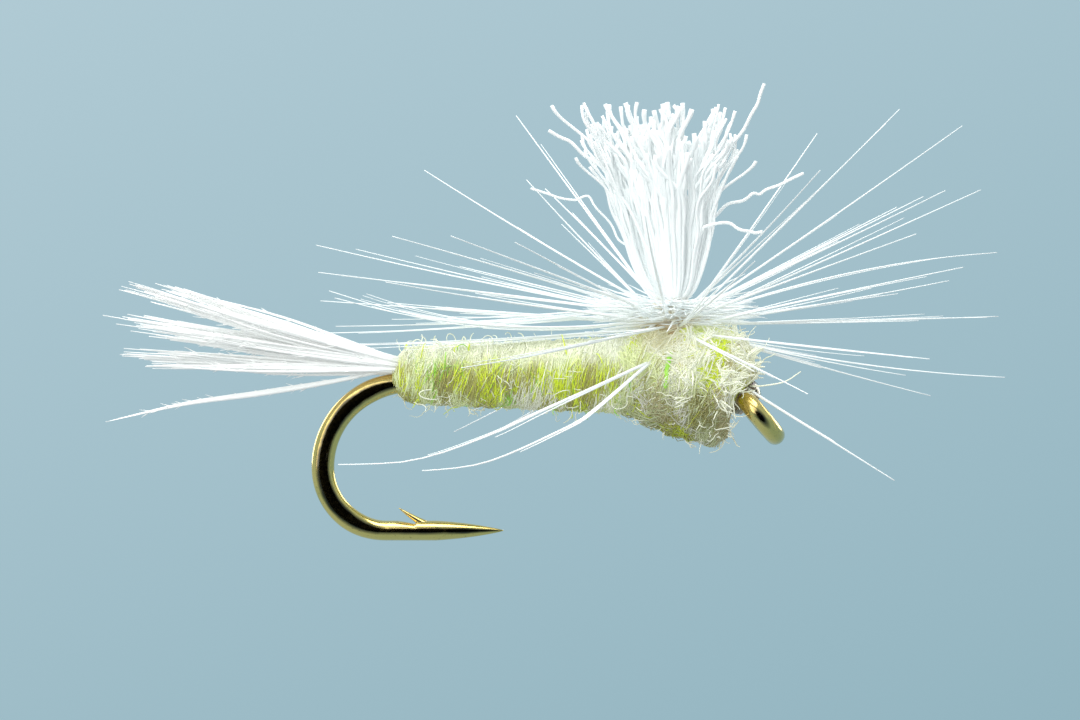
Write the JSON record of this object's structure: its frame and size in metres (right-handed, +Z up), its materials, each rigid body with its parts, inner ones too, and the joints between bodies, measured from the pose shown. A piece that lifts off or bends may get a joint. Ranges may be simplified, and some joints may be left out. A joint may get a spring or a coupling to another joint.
{
  "type": "dry fly",
  "caption": "Parachute dry fly: bronzed barbed hook with a down-turned eye, dubbed body, white yarn wing post, horizontal hackle and a fibre tail.",
  "frame": {"origin": "centre of the hook's eye", "axes": "+X ahead of the eye along the shank, +Y to the fly's left side seen from behind, +Z up along the wing post, tail towards -X"},
  "size_m": [0.0182, 0.0118, 0.0092],
  "materials": {
    "bronzed_wire": "gloss",
    "tying_thread": "satin",
    "post_thread": "satin",
    "clear_cement": "gloss",
    "wing_yarn": "satin",
    "hackle_quill": "satin",
    "hackle_barb": "satin",
    "tail_fibre": "satin",
    "abdomen_fur": "matte",
    "thorax_fur": "matte"
  },
  "bodies": {
    "root": {"hook": "bronzed_wire", "thread_base": "tying_thread", "tail_lashing": "tying_thread", "post_anchor_wraps": "tying_thread", "hackle_tie_off": "tying_thread", "head_wraps": "tying_thread", "post_wraps": "post_thread", "head_cement": "clear_cement", "wing_saddle": "wing_yarn", "hackle_quill": "hackle_quill", "hackle_barbs_turn_1": "hackle_barb", "hackle_barbs_turn_2": "hackle_barb", "hackle_barbs_turn_3": "hackle_barb", "hackle_barbs_turn_4": "hackle_barb", "hackle_low_barbs": "hackle_barb", "tail_butts": "tail_fibre", "abdomen_dubbing": "abdomen_fur", "thorax_dubbing": "thorax_fur"},
    "wing": {"wing_yarn_near": "wing_yarn", "wing_yarn_far": "wing_yarn", "wing_strays": "wing_yarn"},
    "tail": {"tail_upper": "tail_fibre", "tail_middle": "tail_fibre", "tail_lower": "tail_fibre", "tail_stray": "tail_fibre"}
  },
  "joints": [
    {"name": "wing_flex", "type": "hinge", "parent": "root", "child": "wing", "pos_m": [-0.00175, 0, 0.00233], "axis": [0, 1, 0], "range_deg": [-20, 20], "stiffness_Nm_per_rad": 0.000002},
    {"name": "tail_flex", "type": "hinge", "parent": "root", "child": "tail", "pos_m": [-0.00736, 0, 0.00101], "axis": [0, 1, 0], "range_deg": [-12, 20], "stiffness_Nm_per_rad": 0.000002}
  ]
}
